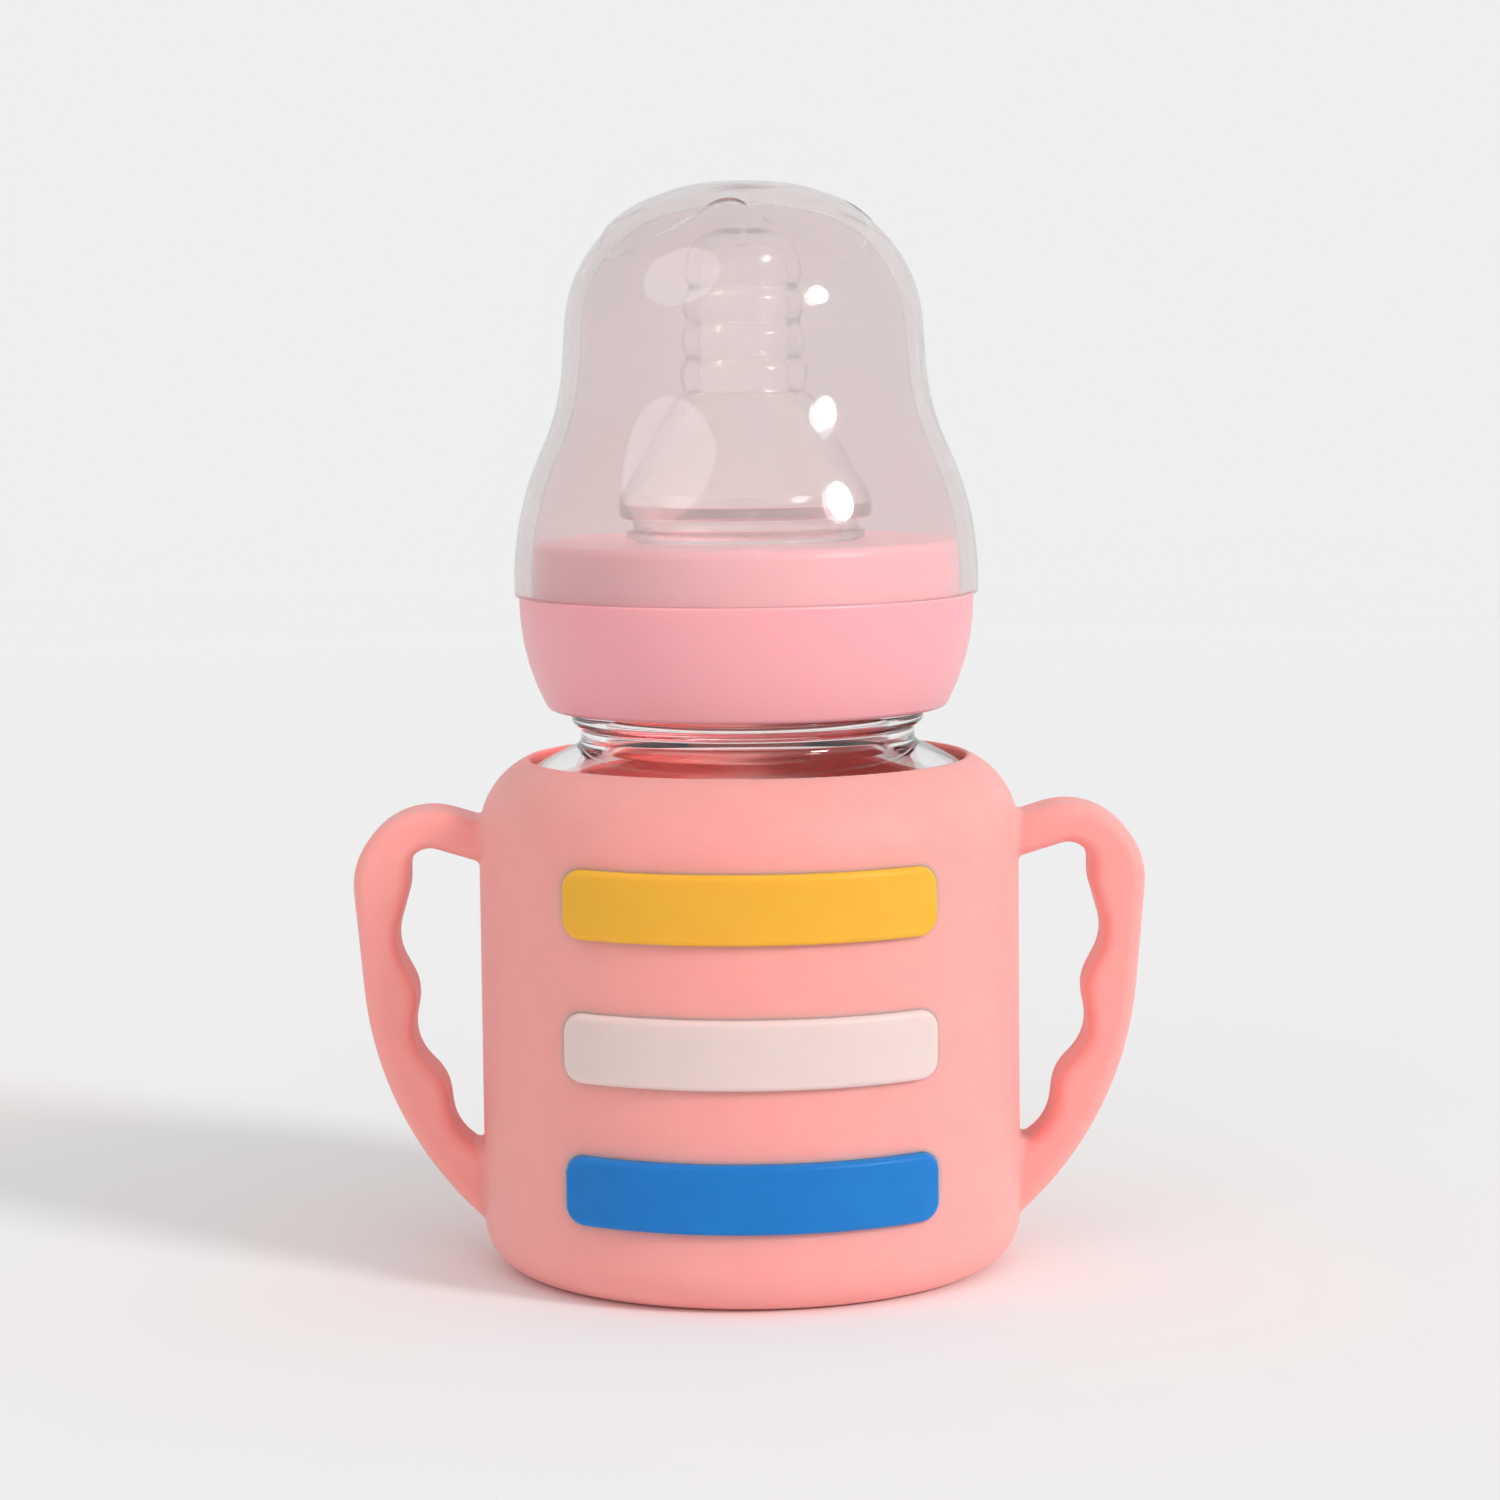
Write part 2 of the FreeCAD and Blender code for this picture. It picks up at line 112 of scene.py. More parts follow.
def smooth(piece):
    """Outward faces and soft shading, with edges sharper than the crease kept."""
    bpy.ops.object.mode_set(mode="EDIT")
    bpy.ops.mesh.select_all(action="SELECT")
    bpy.ops.mesh.remove_doubles(threshold=SMALLEST_GAP)
    bpy.ops.mesh.normals_make_consistent(inside=False)
    bpy.ops.object.mode_set(mode="OBJECT")
    bpy.ops.object.shade_smooth_by_angle(angle=CREASE)
    return piece


def turned(name, corners, steps=AROUND_STEPS):
    """A piece of revolution about the bottle's axis from a closed half outline."""
    piece = drawn(name, rounded(corners))
    bpy.ops.mesh.spin(steps=steps, angle=2 * math.pi, center=(0, 0, 0), axis=(0, 0, 1))
    return smooth(piece)


def joined(piece, other):
    """Makes another piece one with this piece, which uses it up."""
    bpy.ops.object.select_all(action="DESELECT")
    bpy.context.view_layer.objects.active = piece
    piece.select_set(True)
    union = piece.modifiers.new("Union", "BOOLEAN")
    union.operation = "UNION"
    union.solver = "EXACT"
    union.object = other
    bpy.ops.object.modifier_apply(modifier=union.name)
    bpy.data.objects.remove(other)
    return smooth(piece)


def select_where(piece, test):
    """In edit mode, selects only the vertices whose place passes the test."""
    bpy.ops.mesh.select_all(action="DESELECT")
    bpy.ops.object.mode_set(mode="OBJECT")
    for vertex in piece.data.vertices:
        vertex.select = test(vertex.co)
    bpy.ops.object.mode_set(mode="EDIT")


thread_pitch = 2 * math.pi * frame["record"]["behaviour"]["couplings"][0]["ratio"]
THREAD_STEPS = 72
THREAD_FOOT_HALF = 1.0 * MM
THREAD_CREST_HALF = 0.45 * MM
THREAD_SEAT = 0.5 * MM
THREAD_RUN_OUT = 8
THREAD_SINK = 1.1
SECTION_REACH = 2 * THREAD_FOOT_HALF
SECTION_SLACK = THREAD_CREST_HALF / 2


def thread_ridge(name, wall, crest, height, turns):
    """A right-hand helical ridge on a wall of that radius, sunk into it step by step at both ends."""
    steps = round(THREAD_STEPS * turns)
    angle = 2 * math.pi * turns
    lift = thread_pitch * turns
    foot = wall - math.copysign(THREAD_SEAT, crest - wall)
    section = [
        Vector((foot, height - THREAD_FOOT_HALF)),
        Vector((crest, height - THREAD_CREST_HALF)),
        Vector((crest, height + THREAD_CREST_HALF)),
        Vector((foot, height + THREAD_FOOT_HALF)),
    ]
    ridge = drawn(name, section)
    bpy.ops.object.mode_set(mode="OBJECT")
    helix = ridge.modifiers.new("Helix", "SCREW")
    helix.angle = angle
    helix.screw_offset = lift
    helix.steps = helix.render_steps = steps
    bpy.ops.object.modifier_apply(modifier=helix.name)
    bpy.ops.object.mode_set(mode="EDIT")
    bpy.ops.mesh.select_all(action="DESELECT")
    bpy.ops.mesh.select_non_manifold()
    bpy.ops.mesh.fill_holes(sides=len(section))
    sink = (foot - crest) * THREAD_SINK
    for end, onward in ((0, 1), (steps, -1)):
        for i in range(THREAD_RUN_OUT):
            share = (end + onward * i) / steps
            around = angle * share
            out = Vector((math.cos(around), math.sin(around), 0))
            along = Vector((-out.y, out.x, 0))
            middle = out * (foot + crest) / 2 + Vector((0, 0, height + lift * share))
            select_where(ridge, lambda place: (place - middle).length < SECTION_REACH
                         and abs(place.dot(along)) < SECTION_SLACK)
            bpy.ops.transform.translate(value=out * sink * (1 - i / THREAD_RUN_OUT))
    return smooth(ridge)


glass_low, glass_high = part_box("glass_bottle")
BODY_RADIUS = glass_high.x
BODY_HEIGHT = 50.2 * MM
GLASS_WALL = 2.4 * MM
GLASS_FLOOR = 4.0 * MM
GLASS_HEEL = 4.0 * MM
SHOULDER_ANGLE = math.radians(25)
SHOULDER_ROUND = 7.2 * MM
NECK_RADIUS = 17.9 * MM
NECK_WALL = 2.7 * MM
NECK_ROUND = 1.2 * MM
BEAD_RISE = 1.7 * MM
BEAD_HEIGHT = 2.4 * MM
BEAD_STANDOUT = 1.0 * MM
RIM_ROUND = 0.7 * MM
NECK_THREAD_CREST = 19.05 * MM
NECK_THREAD_DROP = 11.2 * MM
THREAD_TURNS = 1.6

glass_foot = glass_low.z
rim_height = glass_high.z
shoulder_slope = math.tan(SHOULDER_ANGLE)
shoulder_height = glass_foot + BODY_HEIGHT
neck_foot = shoulder_height + (BODY_RADIUS - NECK_RADIUS) * shoulder_slope
bore = NECK_RADIUS - NECK_WALL
inner = BODY_RADIUS - GLASS_WALL
bead_low = neck_foot + BEAD_RISE
bead_high = bead_low + BEAD_HEIGHT
bead_radius = NECK_RADIUS + BEAD_STANDOUT
neck_thread_height = rim_height - NECK_THREAD_DROP


def under_shoulder(radius):
    """Height of the glass shoulder's inside at a radius."""
    outside = shoulder_height + (BODY_RADIUS - radius) * shoulder_slope
    return outside - GLASS_WALL / math.cos(SHOULDER_ANGLE)


bottle = turned("blown_bottle", [
    (0, glass_foot, 0),
    (BODY_RADIUS, glass_foot, GLASS_HEEL),
    (BODY_RADIUS, shoulder_height, SHOULDER_ROUND),
    (NECK_RADIUS, neck_foot, NECK_ROUND),
    (NECK_RADIUS, bead_low, BEAD_STANDOUT / 2),
    (bead_radius, bead_low + BEAD_STANDOUT / 2, BEAD_STANDOUT),
    (bead_radius, bead_high - BEAD_STANDOUT / 2, BEAD_STANDOUT),
    (NECK_RADIUS, bead_high, BEAD_STANDOUT / 2),
    (NECK_RADIUS, rim_height, RIM_ROUND),
    (bore, rim_height, RIM_ROUND),
    (bore, under_shoulder(bore), NECK_WALL),
    (inner, under_shoulder(inner), SHOULDER_ROUND - GLASS_WALL),
    (inner, glass_foot + GLASS_FLOOR, GLASS_HEEL),
    (0, glass_foot + GLASS_FLOOR, 0),
])
neck_thread = thread_ridge("neck_thread", NECK_RADIUS, NECK_THREAD_CREST, neck_thread_height, THREAD_TURNS)
joined(bottle, neck_thread)


def finish(name, colour, roughness):
    """A new material with one Principled shader of that colour and roughness."""
    material = bpy.data.materials.new(name)
    material.use_nodes = True
    shader = material.node_tree.nodes["Principled BSDF"]
    shader.inputs["Base Color"].default_value = (*colour, 1)
    shader.inputs["Roughness"].default_value = roughness
    return material, shader


NOISE_DETAIL = 2.0


def noise(material, size):
    """A noise texture on the piece's own coordinates, with spots of about that size."""
    tree = material.node_tree
    place = tree.nodes.new("ShaderNodeTexCoord")
    texture = tree.nodes.new("ShaderNodeTexNoise")
    texture.inputs["Scale"].default_value = 1 / size
    texture.inputs["Detail"].default_value = NOISE_DETAIL
    tree.links.new(place.outputs["Object"], texture.inputs["Vector"])
    return texture


def bumped(material, shader, sources):
    """Surface relief of the (noise texture, height) sources, one on top of the other."""
    tree = material.node_tree
    below = None
    for source, height in sources:
        relief = tree.nodes.new("ShaderNodeBump")
        relief.inputs["Distance"].default_value = height
        tree.links.new(source.outputs["Fac"], relief.inputs["Height"])
        if below is not None:
            tree.links.new(below.outputs["Normal"], relief.inputs["Normal"])
        below = relief
    tree.links.new(below.outputs["Normal"], shader.inputs["Normal"])


def lets_lamps_through(material, shader, tint):
    """Rays from the lamps pass the material, tinted, so that they reach what is behind it."""
    tree = material.node_tree
    path = tree.nodes.new("ShaderNodeLightPath")
    clear = tree.nodes.new("ShaderNodeBsdfTransparent")
    clear.inputs["Color"].default_value = (*tint, 1)
    either = tree.nodes.new("ShaderNodeMixShader")
    tree.links.new(path.outputs["Is Shadow Ray"], either.inputs["Fac"])
    tree.links.new(shader.outputs["BSDF"], either.inputs[1])
    tree.links.new(clear.outputs["BSDF"], either.inputs[2])
    tree.links.new(either.outputs["Shader"], tree.nodes["Material Output"].inputs["Surface"])


GLASS_COLOUR = (0.98, 0.99, 0.985)
GLASS_TINT = (0.97, 0.975, 0.972)
GLASS_IOR = 1.5
FLOW_SIZE = 9 * MM
FLOW_DEPTH = 0.02 * MM
clear_glass, shader = finish("clear_glass", GLASS_COLOUR, 0.0)
shader.inputs["Transmission Weight"].default_value = 1.0
shader.inputs["IOR"].default_value = GLASS_IOR
flow = noise(clear_glass, FLOW_SIZE)
bumped(clear_glass, shader, [(flow, FLOW_DEPTH)])
lets_lamps_through(clear_glass, shader, GLASS_TINT)
bottle.data.materials.append(clear_glass)
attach(bottle, "bottle")
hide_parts("glass_bottle")


# Grip sleeve. One soft silicone moulding that is stretched over the glass: a cup with a thin lip
# on the shoulder, and two handles with finger scallops, moulded in one with it.
NOISE_LOW = 0.3
NOISE_HIGH = 0.7
GRAIN_SIZE = 0.16 * MM
GRAIN_DEPTH = 0.006 * MM
DIMPLE_SIZE = 3.5 * MM
DIMPLE_DEPTH = 0.03 * MM
SILICONE_IOR = 1.41
SILICONE_GLOSS = 0.35
SILICONE_UNEVEN = 0.06
SILICONE_SCATTER = (1.0, 0.3, 0.25)
SILICONE_DEPTH = 1.6 * MM
SLEEVE_COLOUR = (0.91, 0.40, 0.375)
SLEEVE_SHADE = (0.89, 0.385, 0.36)
SLEEVE_ROUGHNESS = 0.5


def spread(material, source, low, high):
    """A value that runs from low to high with a noise texture."""
    tree = material.node_tree
    span = tree.nodes.new("ShaderNodeMapRange")
    span.inputs["From Min"].default_value = NOISE_LOW
    span.inputs["From Max"].default_value = NOISE_HIGH
    span.inputs["To Min"].default_value = low
    span.inputs["To Max"].default_value = high
    tree.links.new(source.outputs["Fac"], span.inputs["Value"])
    return span.outputs["Result"]


def uneven(material, shader, source, roughness, by):
    """Roughness that a noise texture moves up and down by a little."""
    moved = spread(material, source, roughness - by, roughness + by)
    material.node_tree.links.new(moved, shader.inputs["Roughness"])


def silicone(name, colour, shade, roughness):
    """Matte moulded silicone: a fine grain, faint dimples and soft light inside."""
    material, shader = finish(name, colour, roughness)
    tree = material.node_tree
    grain = noise(material, GRAIN_SIZE)
    dimples = noise(material, DIMPLE_SIZE)
    tone = tree.nodes.new("ShaderNodeMix")
    tone.data_type = "RGBA"
    tone.inputs["A"].default_value = (*shade, 1)
    tone.inputs["B"].default_value = (*colour, 1)
    tree.links.new(spread(material, dimples, 0.0, 1.0), tone.inputs["Factor"])
    tree.links.new(tone.outputs["Result"], shader.inputs["Base Color"])
    uneven(material, shader, grain, roughness, SILICONE_UNEVEN)
    bumped(material, shader, [(dimples, DIMPLE_DEPTH), (grain, GRAIN_DEPTH)])
    shader.inputs["Subsurface Weight"].default_value = 1.0
    shader.inputs["Subsurface Radius"].default_value = SILICONE_SCATTER
    shader.inputs["Subsurface Scale"].default_value = SILICONE_DEPTH
    shader.inputs["Specular IOR Level"].default_value = SILICONE_GLOSS
    shader.inputs["IOR"].default_value = SILICONE_IOR
    return material


def finish_node(node, material):
    """Gives a node of the frame its finish."""
    piece = frame["nodes"][node]
    piece.data.materials.clear()
    piece.data.materials.append(material)


finish_node("grip_sleeve", silicone("pink_silicone", SLEEVE_COLOUR, SLEEVE_SHADE, SLEEVE_ROUGHNESS))


# Coloured bars. Three raised bars of coloured silicone, moulded into shallow pockets across the
# front of the sleeve, with soft outer edges.
BAR_ROUGHNESS = 0.42
BAR_FINISHES = {
    "yellow_bar": ((0.85, 0.47, 0.045), (0.83, 0.455, 0.041)),
    "white_bar": ((0.76, 0.63, 0.605), (0.75, 0.615, 0.59)),
    "blue_bar": ((0.008, 0.21, 0.58), (0.007, 0.20, 0.56)),
}
for node, (colour, shade) in BAR_FINISHES.items():
    finish_node(node, silicone(node.replace("bar", "silicone"), colour, shade, BAR_ROUGHNESS))


# Teat. A hollow moulding of clear silicone: its flange is clamped on the glass rim, a snap bead
# holds it in the collar's hole, and above its dome a ribbed stem ends in the feeding tip.
teat_low, teat_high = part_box("teat")
collar_low, collar_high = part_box("screw_collar")
FLANGE_WALL = 1.8 * MM
TEAT_NECK = 12.0 * MM
TEAT_WALL = 1.5 * MM
TEAT_EDGE = 0.3 * MM
SNAP_GAP = 0.2 * MM
SNAP_HEIGHT = 0.9 * MM
SNAP_STANDOUT = 0.75 * MM
TEAT_NECK_RISE = 2.3 * MM
DOME_OVERHANG = 1.5 * MM
DOME_SKIRT = 2.2 * MM
DOME_ROUND = 2.2 * MM
DOME_HEIGHT = 13.4 * MM
STEM_FOOT = 6.8 * MM
TIP_RADIUS = 6.2 * MM
TIP_ROUND = 4.4 * MM
RIB_COUNT = 3
RIB_PITCH = 3.7 * MM
RIB_DEPTH = 0.45 * MM
RIB_LAND = 1.5 * MM
RIB_ROUND = 1.5 * MM
FEED_HOLE = 0.5 * MM
TEAT_STEPS = 120

collar_top = collar_high.z
flange_top = rim_height + FLANGE_WALL
teat_throat = TEAT_NECK - TEAT_WALL
snap = TEAT_NECK + SNAP_STANDOUT
snap_low = collar_top + SNAP_GAP
snap_high = snap_low + SNAP_HEIGHT
dome = TEAT_NECK + DOME_OVERHANG
dome_low = collar_top + TEAT_NECK_RISE
stem_low = dome_low + DOME_HEIGHT
tip_low = stem_low + RIB_COUNT * RIB_PITCH
tip_top = teat_high.z

ribs = []
for i in range(RIB_COUNT):
    swell = STEM_FOOT + (TIP_RADIUS - STEM_FOOT) * i / RIB_COUNT
    groove = stem_low + i * RIB_PITCH
    ribs.append((swell - RIB_DEPTH, groove, RIB_DEPTH))
    ribs.append((swell, groove + (RIB_PITCH - RIB_LAND) / 2, RIB_ROUND))
    ribs.append((swell, groove + (RIB_PITCH + RIB_LAND) / 2, RIB_ROUND))

teat = turned("ribbed_teat", [
    (teat_throat, teat_low.z, TEAT_EDGE),
    (teat_high.x, teat_low.z, TEAT_EDGE),
    (teat_high.x, flange_top, TEAT_EDGE),
    (TEAT_NECK, flange_top, SNAP_GAP),
    (TEAT_NECK, snap_low, SNAP_GAP),
    (snap, snap_low, TEAT_EDGE),
    (snap, snap_high, TEAT_EDGE),
    (TEAT_NECK, snap_high, TEAT_EDGE),
    (TEAT_NECK, dome_low, TEAT_EDGE),
    (dome, dome_low, 2 * TEAT_EDGE),
    (dome, dome_low + DOME_SKIRT, DOME_ROUND),
    (STEM_FOOT + RIB_DEPTH, stem_low - RIB_DEPTH, RIB_ROUND),
    *ribs,
    (TIP_RADIUS - RIB_DEPTH, tip_low, RIB_DEPTH),
    (TIP_RADIUS, tip_low + (RIB_PITCH - RIB_LAND) / 2, RIB_ROUND),
    (TIP_RADIUS, tip_top, TIP_ROUND),
    (FEED_HOLE, tip_top, TEAT_EDGE),
    (FEED_HOLE, tip_top - TEAT_WALL, TEAT_EDGE),
    (TIP_RADIUS - TEAT_WALL, tip_top - TEAT_WALL, TIP_ROUND - TEAT_WALL),
    (STEM_FOOT - RIB_DEPTH - TEAT_WALL, stem_low, DOME_ROUND),
    (dome - TEAT_WALL, dome_low + DOME_SKIRT, DOME_ROUND),
    (dome - TEAT_WALL, dome_low + TEAT_WALL, TEAT_EDGE),
    (teat_throat, dome_low, TEAT_EDGE),
], steps=TEAT_STEPS)

TEAT_COLOUR = (0.97, 0.96, 0.95)
TEAT_TINT = (0.93, 0.92, 0.91)
TEAT_CLEARNESS = 0.96
TEAT_ROUGHNESS = 0.15
TEAT_UNEVEN = 0.03
RIPPLE_SIZE = 4 * MM
RIPPLE_DEPTH = 0.04 * MM
clear_silicone, shader = finish("clear_silicone", TEAT_COLOUR, TEAT_ROUGHNESS)
shader.inputs["Transmission Weight"].default_value = TEAT_CLEARNESS
shader.inputs["IOR"].default_value = SILICONE_IOR
ripple = noise(clear_silicone, RIPPLE_SIZE)
uneven(clear_silicone, shader, ripple, TEAT_ROUGHNESS, TEAT_UNEVEN)
bumped(clear_silicone, shader, [(ripple, RIPPLE_DEPTH)])
lets_lamps_through(clear_silicone, shader, TEAT_TINT)
teat.data.materials.append(clear_silicone)
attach(teat, "teat")
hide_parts("teat")


# Screw collar. A polypropylene ring that clamps the teat on the glass rim: a bowl-shaped skirt with
# the thread inside, a plate with the teat's hole, and a spigot that the cap is pushed on.
COLLAR_BORE = 19.4 * MM
COLLAR_FOOT_WALL = 1.9 * MM
COLLAR_FOOT_ROUND = 0.9 * MM
COLLAR_PLATE = 1.8 * MM
TEAT_HOLE_FIT = 0.25 * MM
SPIGOT_HEIGHT = 5.7 * MM
SPIGOT_ROUND = 1.0 * MM
SEAT_WIDTH = 1.5 * MM
COLLAR_EDGE = 0.3 * MM
COLLAR_THREAD_CREST = 18.25 * MM

collar_radius = collar_high.x
collar_foot = collar_low.z
seat_height = collar_top - SPIGOT_HEIGHT
plate_underside = collar_top - COLLAR_PLATE
spigot = collar_radius - SEAT_WIDTH
teat_hole = TEAT_NECK + TEAT_HOLE_FIT
flare = collar_radius - COLLAR_BORE - COLLAR_FOOT_WALL
rise = seat_height - collar_foot
bowl_round = (rise ** 2 + flare ** 2) / (2 * flare)
bowl_bend = (rise ** 2 + flare ** 2) / (2 * rise)

collar = turned("threaded_collar", [
    (COLLAR_BORE, collar_foot, COLLAR_FOOT_ROUND / 2),
    (COLLAR_BORE + COLLAR_FOOT_WALL, collar_foot, COLLAR_FOOT_ROUND),
    (collar_radius, seat_height - bowl_bend, bowl_round),
    (collar_radius, seat_height, COLLAR_EDGE),
    (spigot, seat_height, 0),
    (spigot, collar_top, SPIGOT_ROUND),
    (teat_hole, collar_top, COLLAR_EDGE),
    (teat_hole, plate_underside, COLLAR_EDGE),
    (COLLAR_BORE, plate_underside, 0),
])
# The collar's thread runs half a pitch below the neck's and starts a quarter turn further on. With
# no window, rotate turns the other way, so its angle is negative.
collar_thread_height = neck_thread_height - thread_pitch / 2 + thread_pitch / 4
collar_thread = thread_ridge("collar_thread", COLLAR_BORE, COLLAR_THREAD_CREST,
                             collar_thread_height, THREAD_TURNS)
bpy.ops.object.mode_set(mode="EDIT")
bpy.ops.mesh.select_all(action="SELECT")
bpy.ops.transform.rotate(value=-math.pi / 2, orient_axis="Z", center_override=(0, 0, 0))
bpy.ops.object.mode_set(mode="OBJECT")
joined(collar, collar_thread)

COLLAR_COLOUR = (0.87, 0.405, 0.44)
COLLAR_TINT = (0.88, 0.55, 0.55)
COLLAR_ROUGHNESS = 0.34
COLLAR_UNEVEN = 0.04
COLLAR_SOFTNESS = 0.8
COLLAR_SCATTER = (1.0, 0.4, 0.4)
COLLAR_DEPTH = 2.0 * MM
SATIN_SIZE = 0.3 * MM
SATIN_DEPTH = 0.003 * MM
SINK_MARK_SIZE = 8 * MM
SINK_MARK_DEPTH = 0.03 * MM
pink_plastic, shader = finish("pink_plastic", COLLAR_COLOUR, COLLAR_ROUGHNESS)
shader.inputs["Subsurface Weight"].default_value = COLLAR_SOFTNESS
shader.inputs["Subsurface Radius"].default_value = COLLAR_SCATTER
shader.inputs["Subsurface Scale"].default_value = COLLAR_DEPTH
satin = noise(pink_plastic, SATIN_SIZE)
sink_marks = noise(pink_plastic, SINK_MARK_SIZE)
uneven(pink_plastic, shader, satin, COLLAR_ROUGHNESS, COLLAR_UNEVEN)
bumped(pink_plastic, shader, [(sink_marks, SINK_MARK_DEPTH), (satin, SATIN_DEPTH)])
lets_lamps_through(pink_plastic, shader, COLLAR_TINT)
collar.data.materials.append(pink_plastic)
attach(collar, "collar")
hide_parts("screw_collar")


# Hood cap. A thin translucent polypropylene cap with a waist and a four-lobed raised crest, which
# is pushed over the collar's spigot and rests on its seat.
CAP_COLOUR = (0.80, 0.735, 0.735)
CAP_TINT = (1.0, 0.99, 0.99)
CAP_ROUGHNESS = 0.02
CAP_CLEARNESS = 0.85
CAP_BENDING = 1.12
CAP_GLOSS_IOR = 1.49
CAP_GLOSS_ROUGHNESS = 0.06
WAVE_SIZE = 6 * MM
WAVE_DEPTH = 0.03 * MM
frosted_plastic, shader = finish("frosted_plastic", CAP_COLOUR, CAP_ROUGHNESS)
shader.inputs["Transmission Weight"].default_value = CAP_CLEARNESS
shader.inputs["IOR"].default_value = CAP_BENDING
shader.inputs["Coat Weight"].default_value = 1.0
shader.inputs["Coat IOR"].default_value = CAP_GLOSS_IOR
shader.inputs["Coat Roughness"].default_value = CAP_GLOSS_ROUGHNESS
waves = noise(frosted_plastic, WAVE_SIZE)
bumped(frosted_plastic, shader, [(waves, WAVE_DEPTH)])
lets_lamps_through(frosted_plastic, shader, CAP_TINT)
finish_node("hood_cap", frosted_plastic)


# Studio. A pale seamless floor under even light, with a soft lamp low on the right, a broad weak one
# in front, and a round panel on the left that shows only in gloss. The camera has a long lens and
# stands a little above the bottle.
FLOOR_COLOUR = (0.905, 0.905, 0.905)
FLOOR_RADIUS = 1.5
FLOOR_SIDES = 96
FADE_START = 0.5
FADE_END = 1.2
bpy.ops.object.select_all(action="DESELECT")
bpy.ops.mesh.primitive_circle_add(vertices=FLOOR_SIDES, radius=FLOOR_RADIUS, fill_type="NGON")
floor = bpy.context.object
floor.name = "floor"
floor_paper, shader = finish("floor_paper", FLOOR_COLOUR, 1.0)
shader.inputs["Specular IOR Level"].default_value = 0.0
nodes, links = floor_paper.node_tree.nodes, floor_paper.node_tree.links
place = nodes.new("ShaderNodeTexCoord")
distance = nodes.new("ShaderNodeVectorMath")
distance.operation = "LENGTH"
fade = nodes.new("ShaderNodeMapRange")
fade.interpolation_type = "SMOOTHSTEP"
fade.inputs["From Min"].default_value = FADE_START
fade.inputs["From Max"].default_value = FADE_END
beyond = nodes.new("ShaderNodeBsdfTransparent")
seamless = nodes.new("ShaderNodeMixShader")
links.new(place.outputs["Object"], distance.inputs[0])
links.new(distance.outputs["Value"], fade.inputs["Value"])
links.new(fade.outputs["Result"], seamless.inputs["Fac"])
links.new(shader.outputs["BSDF"], seamless.inputs[1])
links.new(beyond.outputs["BSDF"], seamless.inputs[2])
links.new(seamless.outputs["Shader"], nodes["Material Output"].inputs["Surface"])
floor.data.materials.append(floor_paper)

WHITE = (1, 1, 1, 1)
ROOM_LIGHT = 0.68
ROOM_MIRRORED = 0.72
PALE = 0.863
ROOM_SEEN = {"Is Glossy Ray": ROOM_MIRRORED, "Is Transmission Ray": PALE, "Is Camera Ray": PALE}
world = bpy.data.worlds.new("studio")
bpy.context.scene.world = world
world.use_nodes = True
nodes, links = world.node_tree.nodes, world.node_tree.links
path = nodes.new("ShaderNodeLightPath")
light = nodes["Background"]
light.inputs["Strength"].default_value = ROOM_LIGHT
light.inputs["Color"].default_value = WHITE
backgrounds = {}
for ray, strength in ROOM_SEEN.items():
    seen = nodes.new("ShaderNodeBackground")
    seen.inputs["Strength"].default_value = strength
    seen.inputs["Color"].default_value = WHITE
    either = nodes.new("ShaderNodeMixShader")
    links.new(path.outputs[ray], either.inputs["Fac"])
    links.new(light.outputs[0], either.inputs[1])
    links.new(seen.outputs[0], either.inputs[2])
    backgrounds[ray] = seen
    light = either
links.new(light.outputs[0], nodes["World Output"].inputs["Surface"])


def direction(side, height):
    """The direction that many degrees to the right of the front and that many up."""
    side, height = math.radians(side), math.radians(height)
    return Vector((math.sin(side) * math.cos(height), -math.cos(side) * math.cos(height), math.sin(height)))


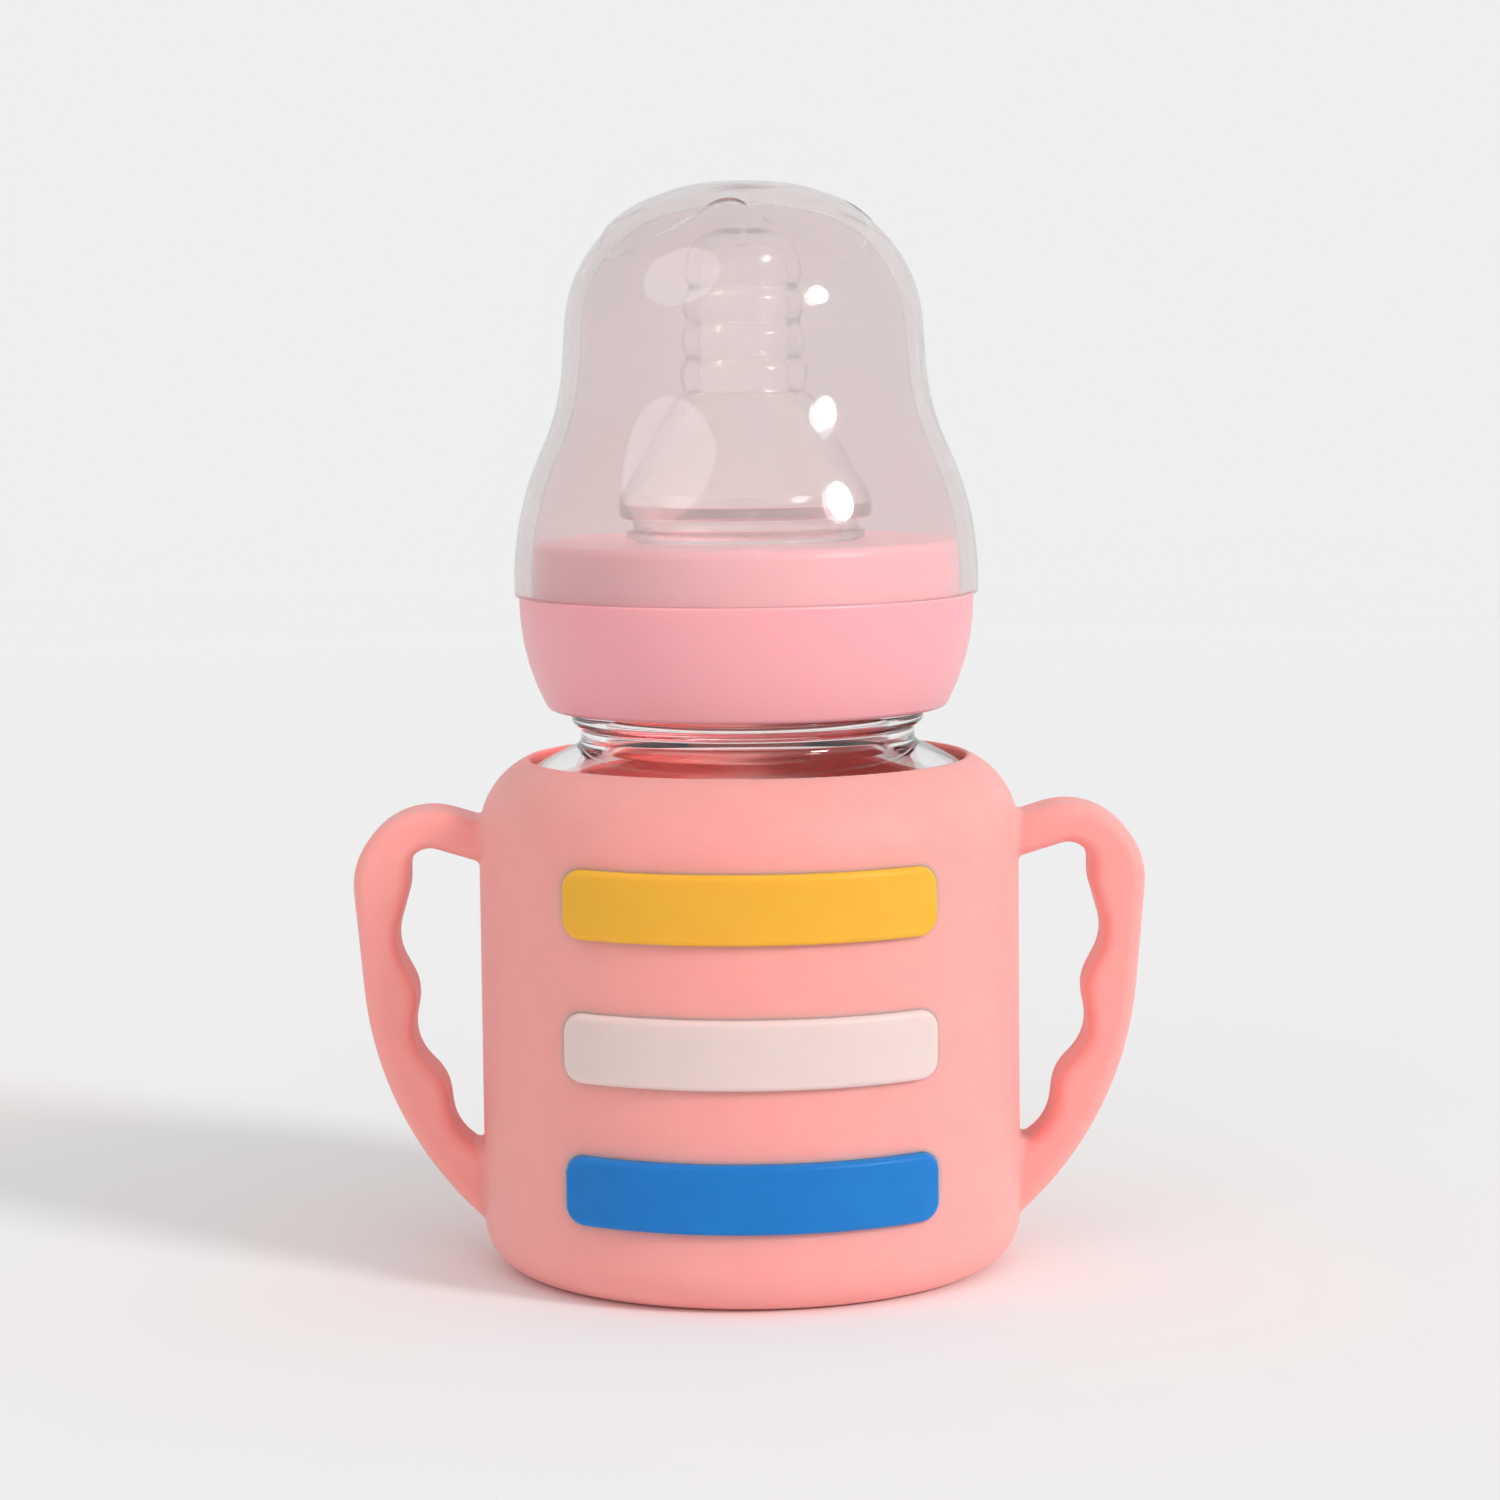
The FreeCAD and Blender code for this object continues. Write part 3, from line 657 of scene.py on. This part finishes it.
PANEL_PLACE = (-51, 42)
PANEL_MIRRORED = 2.3
PANEL_HALF = math.radians(24)
PANEL_EDGE = math.radians(2)
place = nodes.new("ShaderNodeTexCoord")
nearness = nodes.new("ShaderNodeVectorMath")
nearness.operation = "DOT_PRODUCT"
nearness.inputs[1].default_value = direction(*PANEL_PLACE)
panel = nodes.new("ShaderNodeMapRange")
panel.interpolation_type = "SMOOTHSTEP"
panel.inputs["From Min"].default_value = math.cos(PANEL_HALF)
panel.inputs["From Max"].default_value = math.cos(PANEL_HALF - PANEL_EDGE)
panel.inputs["To Min"].default_value = ROOM_MIRRORED
panel.inputs["To Max"].default_value = PANEL_MIRRORED
links.new(place.outputs["Generated"], nearness.inputs[0])
links.new(nearness.outputs["Value"], panel.inputs["Value"])
links.new(panel.outputs["Result"], backgrounds["Is Glossy Ray"].inputs["Strength"])

# Each lamp's degrees to the right, degrees up, strength, degrees across, and whether gloss shows it.
LAMPS = {
    "key_lamp": (53, 26, 1.5, 13, True),
    "fill_lamp": (-8, 30, 0.38, 60, False),
}
for name, (side, height, strength, width, mirrored) in LAMPS.items():
    lamp = bpy.data.lights.new(name, "SUN")
    lamp.energy = strength
    lamp.angle = math.radians(width)
    stand = bpy.data.objects.new(name, lamp)
    bpy.context.scene.collection.objects.link(stand)
    stand.rotation_euler = direction(side, height).to_track_quat("Z", "Y").to_euler()
    stand.visible_glossy = mirrored

CAMERA_PLACE = (0.22 * MM, -447.0 * MM, 101.5 * MM)
CAMERA_DIP = math.radians(5.88)
CAMERA_ROLL = math.radians(-0.61)
CAMERA_LENS = 100.3
CAMERA_SENSOR = 36
CAMERA_NEAR = 10 * MM
camera = bpy.data.cameras.new("camera")
camera.lens = CAMERA_LENS
camera.sensor_width = CAMERA_SENSOR
camera.clip_start = CAMERA_NEAR
camera_stand = bpy.data.objects.new("camera", camera)
bpy.context.scene.collection.objects.link(camera_stand)
camera_stand.location = CAMERA_PLACE
aim = Euler((math.pi / 2 - CAMERA_DIP, 0, 0)).to_matrix() @ Matrix.Rotation(CAMERA_ROLL, 3, "Z")
camera_stand.rotation_euler = aim.to_euler()
bpy.context.scene.camera = camera_stand
bpy.context.scene.view_settings.view_transform = "Standard"

# Light has to get through the cap, the teat and the glass and out again.
CLEAR_BOUNCES = 24
MATTE_BOUNCES = 8
bpy.context.scene.cycles.max_bounces = CLEAR_BOUNCES
bpy.context.scene.cycles.diffuse_bounces = MATTE_BOUNCES
bpy.context.scene.cycles.transmission_bounces = CLEAR_BOUNCES
bpy.context.scene.cycles.transparent_max_bounces = CLEAR_BOUNCES
